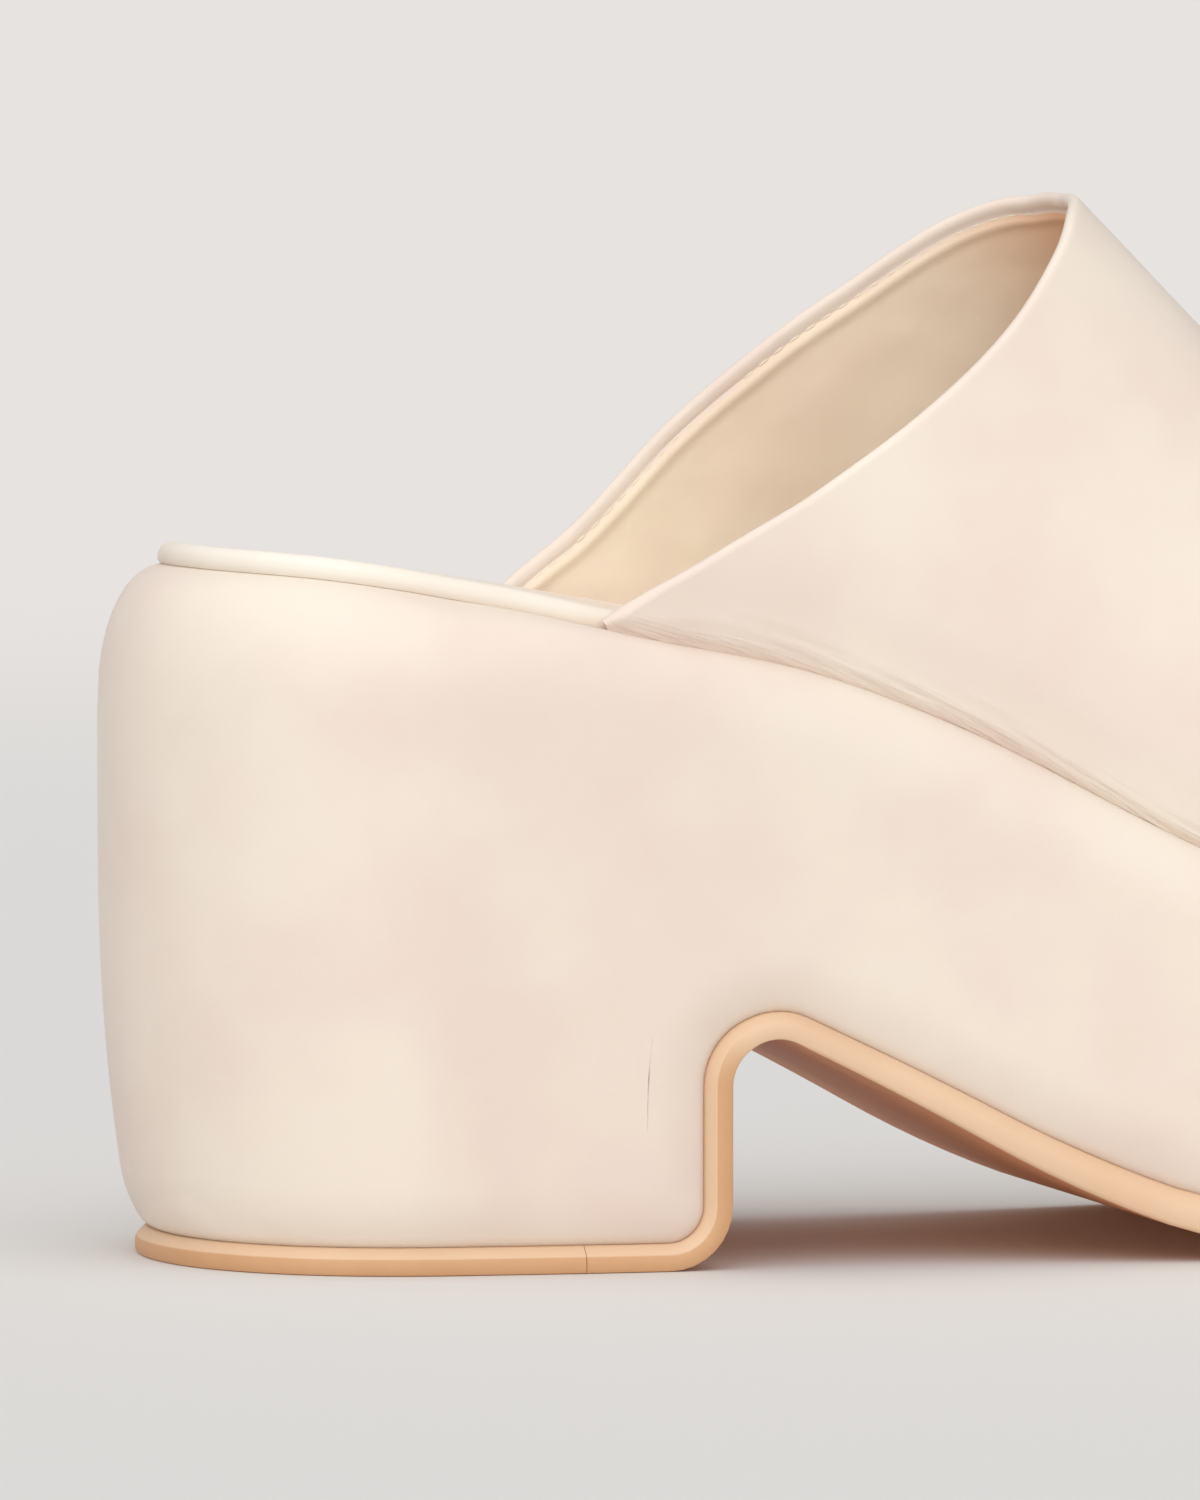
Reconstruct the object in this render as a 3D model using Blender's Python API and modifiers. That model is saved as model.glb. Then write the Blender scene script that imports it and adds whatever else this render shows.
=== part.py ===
"""A right foot's platform clog: a backless closed-toe slip-on with a block heel.

Five pieces, as a maker would join them:
  platform         heel block and platform in one, wrapped in cream leather
  outsole          tan rubber sheet from the toe, through the arch, down the heel breast and under its front
  heel_top_piece   tan rubber piece under the rest of the heel, butted against the outsole
  insole           padded sock on the platform's top, inside the upper
  upper            one piece of lined cream leather, closed round the toe and open at the back

Metres, +Z up. +X is towards the toe and -Y is the outer side of the foot. The floor is z = 0.
The shapes are worked out with x measured from the back of the heel, and an empty then sets
the origin on the floor in the middle of the footprint.
"""

import math

import bmesh
import bpy

# Main sizes of the shoe
LENGTH = 0.260  # platform, back of the heel to the tip of the toe
BALL_WIDTH = 0.096  # platform across the ball of the foot
HEEL_HEIGHT = 0.0869  # platform's top above the floor, at the back
BALL_HEIGHT = 0.0360  # platform's top above the floor, under the ball
INSTEP_HEIGHT = 0.0775  # upper's ridge above the platform's top, at the throat
TOE_SPRING = 0.0080  # lift of the sole at the tip of the toe

# Round ends of the outline seen from above
HEEL_ROUND = 0.038
TOE_ROUND = 0.072
ROUND_POWER = 2.1

# Side of the sole: heel block, breast, arch, and where the tread meets the floor
BREAST_X = 0.0721  # front face of the heel, from the back
HEEL_CORNER = 0.0080  # radius at the foot of the breast
CORNER_LEAST = 0.0003
FILLET_LIMIT = 0.92  # most of an edge that a fillet may use
ARCH_PEAK = 0.0321  # height at which the lines of breast and arch would meet
ARCH_RADIUS = 0.0055
SLOPE_BULGE = 0.0011  # how much fuller the arch's slope is than a straight line
SLOPE_START = 0.0020  # in front of the breast
BALL_X = 0.1299  # where the line of the arch would meet the floor
BALL_RADIUS = 0.112
TOE_ROLL_X = 0.213  # where the line of the toe spring leaves the floor
TOE_ROLL_RADIUS = 0.110

# Wrapped platform: how far its skin stands in from the outline
EDGE_TUCK = 0.0020  # along the whole lower edge
EDGE_REACH = 0.0080
EDGE_POWER = 2.2
BACK_TAPER = 0.0047  # back of the heel, towards the floor
SIDE_TAPER = 0.0026  # sides of the heel, towards the floor
TAPER_HEIGHT = 0.052
TAPER_START = 0.5  # where the taper begins to fade, as a share of SEAM_X
TAPER_END = 0.9  # where it is gone, as a share of BREAST_X
SHOULDER_HEEL = 0.0090  # width of the rounded top edge round the heel
SHOULDER_HEEL_DEPTH = 0.0180
SHOULDER_FRONT_DEPTH = 0.0100
SHOULDER_POWER = 2.2

# Outsole and heel top piece
OUTSOLE_THICKNESS = 0.0034
FOREFOOT_EXTRA = 0.0013  # more rubber under the ball and the toe
OUTSOLE_LEDGE = 0.0013  # stands out past the wrapped edge
OUTSOLE_BEVEL = 0.0013
TREAD_EDGE = 0.0004
SEAM_X = 0.0534  # butt seam under the heel, from the back

# Upper
WALL = 0.0018  # leather, stiffener and lining
UPPER_INSET = 0.0053  # outer skin in from the outline, at the crease
UPPER_BULGE = 0.0016  # swells out again above the crease
BULGE_HEIGHT = 0.012
BULGE_FADE = 0.045
TOE_BOX_ROUND = 0.034
TOE_BOX_POWER = 2.4

# Insole
INSOLE_THICKNESS = 0.0024  # at the outer edge
INSOLE_EDGE = 0.0017
INSOLE_DISH = 0.0008

GAP = 0.0003  # between pieces that touch
INSOLE_CLEARANCE = 0.0005  # insole to the upper's lining

INSOLE_INSET = UPPER_INSET + WALL + INSOLE_CLEARANCE

# One row for each section of the last and the platform.
# along: share of LENGTH. outer, inner, swing, ridge_in: shares of BALL_WIDTH.
# rise: platform's top from BALL_HEIGHT (0) to HEEL_HEIGHT (1). instep: share of INSTEP_HEIGHT.
# outer_full and inner_full: how square the upper's section is on each side (2 is an ellipse).
# footbed: the insole's inner edge over its outer edge, as a share of INSOLE_THICKNESS.
SECTION_COLUMNS = (
    "along", "outer", "inner", "swing", "rise", "instep", "ridge_in", "outer_full", "inner_full", "footbed",
)
SECTIONS = (
    (0.00, 0.372, 0.362, 0.000, 1.000, 1.95, 0.020, 2.20, 2.30, -0.35),
    (0.08, 0.376, 0.366, 0.000, 0.973, 1.85, 0.024, 2.20, 2.30, -0.35),
    (0.16, 0.378, 0.364, 0.000, 0.916, 1.72, 0.030, 2.20, 2.30, 0.10),
    (0.24, 0.376, 0.356, 0.000, 0.829, 1.56, 0.036, 2.20, 2.30, 0.55),
    (0.32, 0.376, 0.346, 0.000, 0.743, 1.36, 0.042, 2.15, 2.30, 0.60),
    (0.40, 0.390, 0.342, 0.000, 0.584, 1.175, 0.046, 2.10, 2.30, 0.45),
    (0.50, 0.428, 0.360, 0.000, 0.319, 0.999, 0.050, 2.05, 2.30, 0.25),
    (0.60, 0.478, 0.405, 0.003, 0.103, 0.810, 0.052, 2.10, 2.35, 0.10),
    (0.70, 0.512, 0.460, 0.006, 0.010, 0.640, 0.050, 2.20, 2.40, 0.00),
    (0.80, 0.507, 0.493, 0.014, 0.000, 0.520, 0.042, 2.35, 2.45, 0.00),
    (0.90, 0.472, 0.490, 0.032, 0.000, 0.430, 0.046, 2.45, 2.50, 0.00),
    (1.00, 0.450, 0.470, 0.055, 0.000, 0.370, 0.055, 2.50, 2.50, 0.00),
)

# The collar: where it crosses each line that runs round the upper's section.
# turn: 0 at the crease, 1 at the ridge. outer_x and inner_x: shares of LENGTH.
COLLAR_COLUMNS = ("turn", "outer_x", "inner_x")
COLLAR = (
    (0.00, 0.216, 0.216),
    (0.05, 0.269, 0.261),
    (0.12, 0.321, 0.299),
    (0.24, 0.375, 0.351),
    (0.40, 0.421, 0.402),
    (0.60, 0.456, 0.445),
    (0.80, 0.477, 0.475),
    (0.90, 0.484, 0.483),
    (1.00, 0.487, 0.487),
)

# The sections of the sole's side lean on their way up to the platform's top.
# How far behind the breast, or ahead of their foot, they meet it, as shares of LENGTH.
CORNER_START_LEAN = 0.060
CORNER_END_LEAN = 0.050
ARCH_START_LEAN = 0.022
SLOPE_LEAN = 0.030

# Rings of the platform, from its lower edge up: shares of EDGE_REACH, then shares of the plain side,
# then depths below the top as shares of SHOULDER_HEEL_DEPTH
EDGE_RINGS = (0.0, 0.15, 0.4, 1.0)
SIDE_RINGS = (0.12, 0.36, 0.66)
SHOULDER_RINGS = (0.75, 0.45, 0.22, 0.09, 0.02, 0.0)

# Rings of the insole: shares of the quarter turn over its edge, then shares of its half width with
# the share of INSOLE_DISH there
INSOLE_TURNS = (0.0, 0.45, 1.0)
INSOLE_RINGS = ((0.62, 0.7), (0.25, 1.0))

# Linear red, green and blue
CREAM = (0.745, 0.630, 0.532)
SOCK_CREAM = (0.760, 0.660, 0.540)
TAN = (0.590, 0.320, 0.165)
GLOSS_CREAM, GLOSS_SOCK, GLOSS_TAN = 0.42, 0.50, 0.55

# How finely the shapes are divided
HEEL_END_SHARE = 0.8  # most of SEAM_X that the heel's round end takes
SEAM_STEPS = 2
TANGENT_TURN = 0.004  # either side of a point, to find the outline's direction
MERGE_DISTANCE = 0.000002
HEEL_STEPS = 9
CORNER_STEPS = 4
BREAST_STEPS = 2
ARCH_STEPS = 6
SLOPE_STEPS = 3
BALL_STEPS = 5
TREAD_STEPS = 3
TOE_STEPS = 11
TOE_ROLL_STEPS = 3
UPPER_STEPS = 34
UPPER_TURNS = 14  # on each side of the ridge, closer together near the crease
UPPER_CROWDING = 1.25
INSOLE_STEPS = 34

OUTER, INNER = -1, 1


def smooth(table, columns, column, share):
    """A column of a table at any share of its first column, through the rows without a kink."""
    at = columns.index(column)
    keys = [row[0] for row in table]
    values = [row[at] for row in table]
    share = min(max(share, keys[0]), keys[-1])
    i = min(max(k for k in range(len(keys)) if keys[k] <= share), len(keys) - 2)

    def slope(k):
        low, high = max(k - 1, 0), min(k + 1, len(keys) - 1)
        return (values[high] - values[low]) / (keys[high] - keys[low])

    width = keys[i + 1] - keys[i]
    t = (share - keys[i]) / width
    return (
        values[i] * (1 + 2 * t) * (1 - t) ** 2
        + values[i + 1] * t * t * (3 - 2 * t)
        + slope(i) * width * t * (1 - t) ** 2
        - slope(i + 1) * width * t * t * (1 - t)
    )


def section(column, x):
    return smooth(SECTIONS, SECTION_COLUMNS, column, x / LENGTH)


def end_round(distance, reach, power):
    """0 at an end of the outline, growing to 1 at reach from it, as a round end does."""
    if distance >= reach:
        return 1.0
    return (1 - (1 - max(distance, 0.0) / reach) ** power) ** (1 / power)


def step(value, low, high):
    """0 below low, 1 above high, and smooth between."""
    t = min(max((value - low) / (high - low), 0.0), 1.0)
    return t * t * (3 - 2 * t)


def outline(side, x):
    """y of the platform's widest outline, on one side."""
    width = section("outer" if side == OUTER else "inner", x) * BALL_WIDTH
    ends = end_round(x, HEEL_ROUND, ROUND_POWER) * end_round(LENGTH - x, TOE_ROUND, ROUND_POWER)
    return section("swing", x) * BALL_WIDTH + side * width * ends


def outward(side, x):
    """The outline's outward direction in plan, as (x, y)."""
    if x <= 0:
        return -1.0, 0.0
    if x >= LENGTH:
        return 1.0, 0.0
    turn = math.acos(1 - 2 * x / LENGTH)
    low, high = [LENGTH * (1 - math.cos(turn + d)) / 2 for d in (-TANGENT_TURN, TANGENT_TURN)]
    dx, dy = high - low, outline(side, high) - outline(side, low)
    length = math.hypot(dx, dy)
    return -side * dy / length, side * dx / length


def plan(side, x, inset):
    """A point of the outline, moved in from it by inset."""
    nx, ny = outward(side, x)
    return x - nx * inset, outline(side, x) - ny * inset


def fillet(before, corner, after, radius, steps):
    """Points of the arc that rounds a corner of a line."""
    ax, az = before[0] - corner[0], before[1] - corner[1]
    bx, bz = after[0] - corner[0], after[1] - corner[1]
    la, lb = math.hypot(ax, az), math.hypot(bx, bz)
    ax, az, bx, bz = ax / la, az / la, bx / lb, bz / lb
    half = math.acos(max(-1.0, min(1.0, ax * bx + az * bz))) / 2
    reach = min(radius / math.tan(half), FILLET_LIMIT * la, FILLET_LIMIT * lb)
    middle = reach / math.cos(half)
    mx, mz = ax + bx, az + bz
    lm = math.hypot(mx, mz)
    cx, cz = corner[0] + mx / lm * middle, corner[1] + mz / lm * middle
    start = math.atan2(corner[1] + az * reach - cz, corner[0] + ax * reach - cx)
    end = math.atan2(corner[1] + bz * reach - cz, corner[0] + bx * reach - cx)
    sweep = (end - start + math.pi) % (2 * math.pi) - math.pi
    r = middle * math.sin(half)
    return [
        (cx + r * math.cos(start + sweep * k / steps), cz + r * math.sin(start + sweep * k / steps))
        for k in range(steps + 1)
    ]


def side_line(lift):
    """The sole's side from the back to the toe, offset into the shoe by lift, as its three curves."""
    slope = ARCH_PEAK / (BALL_X - BREAST_X)
    up = lift * math.hypot(1.0, slope)
    foot = (BREAST_X - lift, lift)
    peak = (BREAST_X - lift, ARCH_PEAK + slope * lift + up)
    ball = (BREAST_X + (ARCH_PEAK + up - lift) / slope, lift)
    corner = fillet((0.0, lift), foot, peak, max(HEEL_CORNER - lift, CORNER_LEAST), CORNER_STEPS)
    arch = fillet(foot, peak, ball, ARCH_RADIUS + lift, ARCH_STEPS)
    tread = fillet(peak, ball, (TOE_ROLL_X, lift), BALL_RADIUS - lift, BALL_STEPS)
    return corner, arch, tread


def toe_lift(x):
    """Height of the tread over the floor: none behind the toe roll."""
    roll = fillet((BALL_X, 0.0), (TOE_ROLL_X, 0.0), (LENGTH, TOE_SPRING), TOE_ROLL_RADIUS, TOE_ROLL_STEPS)
    line = [(0.0, 0.0), *roll, (LENGTH, TOE_SPRING)]
    for (x0, z0), (x1, z1) in zip(line, line[1:]):
        if x <= x1:
            return z0 + (z1 - z0) * (x - x0) / (x1 - x0)
    return TOE_SPRING


def between(start, end, pieces):
    """Points from start to end in equal pieces, without the end."""
    return [
        (start[0] + (end[0] - start[0]) * k / pieces, start[1] + (end[1] - start[1]) * k / pieces)
        for k in range(pieces)
    ]


def top_height(x):
    """The platform's top, along the shoe."""
    return BALL_HEIGHT + (HEEL_HEIGHT - BALL_HEIGHT) * section("rise", x) + toe_lift(x)


def filled(x, z, lift):
    """A side point with the slope's bulge, and with the thicker rubber under the forefoot."""
    along_slope = (x - BREAST_X - SLOPE_START) / (BALL_X - BREAST_X - 2 * SLOPE_START)
    bulge = SLOPE_BULGE * math.sin(math.pi * min(max(along_slope, 0.0), 1.0))
    extra = FOREFOOT_EXTRA * step(along_slope, 0.0, 1.0) * min(lift / OUTSOLE_THICKNESS, 1.0)
    return x, z + bulge + extra


def side_points(lift):
    """The side line's points, one for each of the sole's sections, at any lift."""
    corner, arch, tread = side_line(lift)
    heel_end = min(HEEL_ROUND, HEEL_END_SHARE * SEAM_X)
    toe_start = LENGTH - TOE_ROUND
    points = [(heel_end * (1 - math.cos(math.pi / 2 * k / HEEL_STEPS)), lift) for k in range(HEEL_STEPS)]
    points += between((heel_end, lift), (SEAM_X - GAP, lift), SEAM_STEPS)
    points += [(SEAM_X - GAP, lift), (SEAM_X, lift)]
    points += corner[:-1] + between(corner[-1], arch[0], BREAST_STEPS)
    points += arch[:-1] + between(arch[-1], tread[0], SLOPE_STEPS) + tread[:-1]
    points += between(tread[-1], (toe_start, lift), TREAD_STEPS)
    for k in range(TOE_STEPS + 1):
        x = LENGTH - TOE_ROUND * (1 - math.cos(math.pi / 2 * (TOE_STEPS - k) / TOE_STEPS))
        points.append((x, lift + toe_lift(x)))
    return [filled(x, z, lift) for x, z in points]


def top_points():
    """Where the same sections meet the platform's top, as x."""
    corner, arch, tread = [[filled(x, z, 0.0) for x, z in part] for part in side_line(0.0)]
    points = side_points(0.0)
    knots = [(points[0], 0.0), (points[HEEL_STEPS], points[HEEL_STEPS][0])]
    knots.append((corner[0], BREAST_X - CORNER_START_LEAN * LENGTH))
    knots.append((corner[-1], BREAST_X - CORNER_END_LEAN * LENGTH))
    knots.append((arch[0], BREAST_X - ARCH_START_LEAN * LENGTH))
    knots.append((arch[-1], arch[-1][0] + SLOPE_LEAN * LENGTH))
    knots.append((tread[0], tread[0][0] + SLOPE_LEAN * LENGTH))
    knots += [(tread[-1], tread[-1][0]), (points[-1], LENGTH)]
    lengths = [0.0]
    for (x0, z0), (x1, z1) in zip(points, points[1:]):
        lengths.append(lengths[-1] + math.hypot(x1 - x0, z1 - z0))
    marks = [(lengths[points.index(point)], top) for point, top in knots]
    made = []
    for point, length in zip(points, lengths):
        for (s0, t0), (s1, t1) in zip(marks, marks[1:]):
            if s0 <= length <= s1:
                top = t0 + (t1 - t0) * (length - s0) / (s1 - s0)
        flat = point[0] <= points[HEEL_STEPS][0] or point[0] >= tread[-1][0]
        made.append(point[0] if flat else top)
    return made


def shoulder_width(x):
    """Width of the platform's rounded top edge: broad round the heel, and up to the crease in front."""
    collar = COLLAR[0][1] * LENGTH
    covered = step(x, collar - 2 * SHOULDER_HEEL, collar)
    return SHOULDER_HEEL + (UPPER_INSET + GAP - SHOULDER_HEEL) * covered


def heel_taper(side, x, z):
    """How far the heel block stands in from the outline, towards the floor."""
    facing_back = max(0.0, -outward(side, x)[0]) ** 2
    taper = SIDE_TAPER + (BACK_TAPER - SIDE_TAPER) * facing_back
    heel = 1 - step(x, TAPER_START * SEAM_X, TAPER_END * BREAST_X)
    return taper * heel * max(0.0, 1 - z / TAPER_HEIGHT) ** EDGE_POWER


def skin_inset(side, x, z, from_edge):
    """How far the platform's skin stands in from the outline at (x, z)."""
    rim = EDGE_TUCK * max(0.0, 1 - from_edge / EDGE_REACH) ** EDGE_POWER
    front = step(x, 0.0, COLLAR[0][1] * LENGTH)
    depth = SHOULDER_HEEL_DEPTH + (SHOULDER_FRONT_DEPTH - SHOULDER_HEEL_DEPTH) * front
    up = max(0.0, 1 - max(0.0, top_height(x) - z) / depth)
    rounded = 1 - (1 - up**SHOULDER_POWER) ** (1 / SHOULDER_POWER)
    return rim + heel_taper(side, x, z) + shoulder_width(x) * rounded


def loft(name, sections, close_start=False, close_end=False):
    """A closed skin through sections that each hold the same number of points."""
    bm = bmesh.new()
    rows = [[bm.verts.new(point) for point in points] for points in sections]
    count = len(rows[0])
    for a, b in zip(rows, rows[1:]):
        for k in range(count):
            n = (k + 1) % count
            bm.faces.new((a[k], a[n], b[n], b[k]))
    if close_start:
        bm.faces.new(rows[0])
    if close_end:
        bm.faces.new(rows[-1])
    bmesh.ops.remove_doubles(bm, verts=bm.verts, dist=MERGE_DISTANCE)
    bmesh.ops.recalc_face_normals(bm, faces=bm.faces)
    mesh = bpy.data.meshes.new(name)
    bm.to_mesh(mesh)
    bm.free()
    return bpy.data.objects.new(name, mesh)


def material(name, colour, roughness):
    """A plain non-metal; colour is linear red, green, blue."""
    made = bpy.data.materials.new(name)
    made.use_nodes = True
    shader = made.node_tree.nodes["Principled BSDF"]
    shader.inputs["Base Color"].default_value = (*colour, 1.0)
    shader.inputs["Roughness"].default_value = roughness
    shader.inputs["Metallic"].default_value = 0.0
    return made


def platform():
    """The wrapped heel block and platform: side rings from its lower edge to its top."""
    lows = [share * EDGE_REACH for share in EDGE_RINGS]
    lines = [side_points(OUTSOLE_THICKNESS + GAP + low) for low in lows]
    sections = []
    for i, top_x in enumerate(top_points()):
        low_x, low_z = lines[-1][i]
        rise = top_height(top_x) - low_z
        shares = [1 - high * SHOULDER_HEEL_DEPTH / rise for high in SHOULDER_RINGS]
        shares = [shares[0] * share for share in SIDE_RINGS] + shares
        column = [(*line[i], low) for line, low in zip(lines, lows)]
        column += [(low_x + (top_x - low_x) * v, low_z + rise * v, EDGE_REACH) for v in shares]
        sides = {}
        for side in (OUTER, INNER):
            sides[side] = [(*plan(side, x, skin_inset(side, x, z, d)), z) for x, z, d in column]
        sections.append(sides[OUTER] + sides[INNER][::-1])
    return loft("platform", sections)


def sheet(name, first, last, close_start=False, close_end=False):
    """A stretch of the tan rubber that follows the tread: flat faces, bevelled above and eased below."""
    wrapped = side_points(OUTSOLE_THICKNESS + GAP)
    profile = (
        (0.0, TREAD_EDGE - OUTSOLE_LEDGE),
        (TREAD_EDGE, -OUTSOLE_LEDGE),
        (OUTSOLE_THICKNESS - OUTSOLE_BEVEL, -OUTSOLE_LEDGE),
        (OUTSOLE_THICKNESS, 0.0),
    )
    lines = [side_points(lift) for lift, _ in profile]
    sections = []
    for i in range(first, last + 1):
        sides = {}
        for side in (OUTER, INNER):
            edge = EDGE_TUCK + heel_taper(side, *wrapped[i])
            sides[side] = [
                (*plan(side, line[i][0], edge + inset), line[i][1])
                for line, (_, inset) in zip(lines, profile)
            ]
        sections.append(sides[OUTER] + sides[INNER][::-1])
    return loft(name, sections, close_start, close_end)


def insole():
    """The padded sock: a sheet with a soft upper edge and a slight hollow, fuller along its inner side."""
    turns = [share * math.pi / 2 for share in INSOLE_TURNS]
    round_over = [(INSOLE_EDGE * (1 - math.cos(a)), INSOLE_EDGE * math.sin(a)) for a in turns]
    sections = []
    for k in range(INSOLE_STEPS + 1):
        x = LENGTH * (1 - math.cos(math.pi * k / INSOLE_STEPS)) / 2
        base = top_height(x) + GAP
        ends = end_round(x, HEEL_ROUND, 2) * end_round(LENGTH - x, TOE_ROUND, 2)
        middle = section("swing", x) * BALL_WIDTH
        bank = section("footbed", x) * INSOLE_THICKNESS * ends
        sides = {}
        for side in (OUTER, INNER):
            top = base + INSOLE_THICKNESS + bank * (1 + side) / 2
            points = [(*plan(side, x, INSOLE_INSET), base)]
            for inset, height in round_over:
                points.append((*plan(side, x, INSOLE_INSET + inset), top - INSOLE_EDGE + height))
            rim_x, rim_y, _ = points[-1]
            for share, dip in INSOLE_RINGS:
                height = base + INSOLE_THICKNESS + bank * (1 + side * share) / 2 - dip * INSOLE_DISH * ends
                points.append((rim_x, middle + (rim_y - middle) * share, height))
            sides[side] = points
        sections.append(sides[OUTER] + sides[INNER][::-1])
    return loft("insole", sections)


def ridge(x):
    """The highest line of the upper, along the middle of the foot."""
    lean = (outward(OUTER, x)[0] + outward(INNER, x)[0]) / 2
    y = section("ridge_in", x) * BALL_WIDTH
    y += (section("swing", x) * BALL_WIDTH - y) * (1 - end_round(LENGTH - x, TOE_BOX_ROUND, 2))
    rise = section("instep", x) * INSTEP_HEIGHT * end_round(LENGTH - x, TOE_BOX_ROUND, TOE_BOX_POWER)
    return x - max(0.0, lean) * UPPER_INSET, y, top_height(x) + GAP + rise


def upper_point(side, x, turn):
    """A point of the upper's outer skin: turn is 0 at the crease and 1 at the ridge."""
    base_x, base_y = plan(side, x, UPPER_INSET)
    ridge_x, ridge_y, ridge_z = ridge(x)
    base_z = top_height(x) + GAP
    full = section("outer_full" if side == OUTER else "inner_full", x)
    angle = turn * math.pi / 2
    up = math.sin(angle) ** (2 / full)
    across = 1 - math.cos(angle) ** (2 / full)
    height = up * (ridge_z - base_z)
    swell = math.sin(math.pi / 2 * min(height / BULGE_HEIGHT, 1.0))
    swell *= 1 - step(height, BULGE_HEIGHT, BULGE_FADE)
    nx, ny = outward(side, x)
    bulge = UPPER_BULGE * swell * end_round(LENGTH - x, TOE_BOX_ROUND, 2)
    return (
        base_x + (ridge_x - base_x) * across + nx * bulge,
        base_y + (ridge_y - base_y) * across + ny * bulge,
        base_z + height,
    )


def upper():
    """The one-piece upper: lines run from the collar to the toe, and the wall grows inwards."""
    turns = [(k / UPPER_TURNS) ** UPPER_CROWDING for k in range(UPPER_TURNS + 1)]
    lines = [(OUTER, turn) for turn in turns] + [(INNER, turn) for turn in turns[-2::-1]]
    bm = bmesh.new()
    rows = []
    for side, turn in lines:
        start = smooth(COLLAR, COLLAR_COLUMNS, "outer_x" if side == OUTER else "inner_x", turn) * LENGTH
        row = []
        for k in range(UPPER_STEPS + 1):
            share = math.sin(math.pi / 2 * k / UPPER_STEPS)
            row.append(bm.verts.new(upper_point(side, start + (LENGTH - start) * share, turn)))
        rows.append(row)
    for a, b in zip(rows, rows[1:]):
        for k in range(UPPER_STEPS):
            bm.faces.new((a[k], a[k + 1], b[k + 1], b[k]))
    bmesh.ops.remove_doubles(bm, verts=bm.verts, dist=MERGE_DISTANCE)
    mesh = bpy.data.meshes.new("upper")
    bm.to_mesh(mesh)
    bm.free()
    made = bpy.data.objects.new("upper", mesh)
    wall = made.modifiers.new("wall", "SOLIDIFY")
    wall.thickness = WALL
    wall.offset = -1.0
    wall.use_even_offset = True
    return made


def build():
    for old in list(bpy.data.objects):
        bpy.data.objects.remove(old, do_unlink=True)
    cream = material("cream_leather", CREAM, GLOSS_CREAM)
    lining = material("cream_sock_leather", SOCK_CREAM, GLOSS_SOCK)
    tan = material("tan_rubber", TAN, GLOSS_TAN)

    spots = side_points(0.0)
    seam = spots.index((SEAM_X, 0.0))
    pieces = [
        (platform(), cream),
        (sheet("outsole", seam, len(spots) - 1, close_start=True), tan),
        (sheet("heel_top_piece", 0, seam - 1, close_end=True), tan),
        (insole(), lining),
        (upper(), cream),
    ]

    middle = bpy.data.objects.new("footprint_middle", None)
    sides = [outline(side, x) for x, _ in spots for side in (OUTER, INNER)]
    middle.location = (-LENGTH / 2, -(min(sides) + max(sides)) / 2, 0.0)
    clog = bpy.data.collections.new("clog")
    bpy.context.scene.collection.children.link(clog)
    clog.objects.link(middle)
    for piece, finish in pieces:
        piece.data.materials.append(finish)
        piece.data.shade_smooth()
        piece.data.set_sharp_from_angle(angle=math.radians(40))
        piece.parent = middle
        clog.objects.link(piece)


build()
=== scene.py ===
# %% [markdown]
# # A cream platform clog
# A right shoe with no back, seen from its outer side. The solids of its five pieces come ready made and
# packed. This lesson dresses each of them in a finer skin with the leather, the rubber, the creases and
# the stitches of the real shoe, and then lights and frames it.

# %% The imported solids
import math

import bmesh
import bpy
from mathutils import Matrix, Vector, kdtree, noise


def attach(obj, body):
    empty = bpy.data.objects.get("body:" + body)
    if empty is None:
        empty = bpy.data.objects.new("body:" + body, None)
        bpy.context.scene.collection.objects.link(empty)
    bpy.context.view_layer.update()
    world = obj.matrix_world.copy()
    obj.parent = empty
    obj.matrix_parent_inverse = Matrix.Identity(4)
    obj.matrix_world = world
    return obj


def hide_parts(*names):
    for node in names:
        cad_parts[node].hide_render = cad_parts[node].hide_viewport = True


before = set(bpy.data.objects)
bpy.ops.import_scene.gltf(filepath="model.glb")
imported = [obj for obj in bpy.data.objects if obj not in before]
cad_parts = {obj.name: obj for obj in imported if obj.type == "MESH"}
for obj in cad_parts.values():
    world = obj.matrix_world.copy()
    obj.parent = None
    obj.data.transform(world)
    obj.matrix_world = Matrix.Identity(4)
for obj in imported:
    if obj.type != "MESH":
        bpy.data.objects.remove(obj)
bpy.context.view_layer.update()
MM = 0.001

# %% [markdown]
# ## Helpers
# Three things are needed over and over: colours, material nodes, and skins. Paint is read off as hex in
# sRGB, but Blender mixes light in linear numbers, so one function turns the one into the other. One more
# adds any node together with its settings and links, so that a material reads as a list. A skin is a grid of
# points, row after row, that is made into a mesh.

# %% Colour, node and mesh helpers


def paint(hex_code):
    """An sRGB hex colour as linear red, green, blue and 1."""
    parts = [int(hex_code[i : i + 2], 16) / 255 for i in (1, 3, 5)]
    return (*[c / 12.92 if c <= 0.04045 else ((c + 0.055) / 1.055) ** 2.4 for c in parts], 1.0)


def add(tree, kind, inputs=None, **settings):
    """Adds a node, sets its fields, and gives each named input a value or a link."""
    made = tree.nodes.new(kind)
    for field, value in settings.items():
        setattr(made, field, value)
    for socket, value in (inputs or {}).items():
        if isinstance(value, bpy.types.NodeSocket):
            tree.links.new(value, made.inputs[socket])
        else:
            made.inputs[socket].default_value = value
    return made


def finish(name):
    """A new material with its node tree and its shader."""
    made = bpy.data.materials.new(name)
    made.use_nodes = True
    return made, made.node_tree, made.node_tree.nodes["Principled BSDF"]


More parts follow.
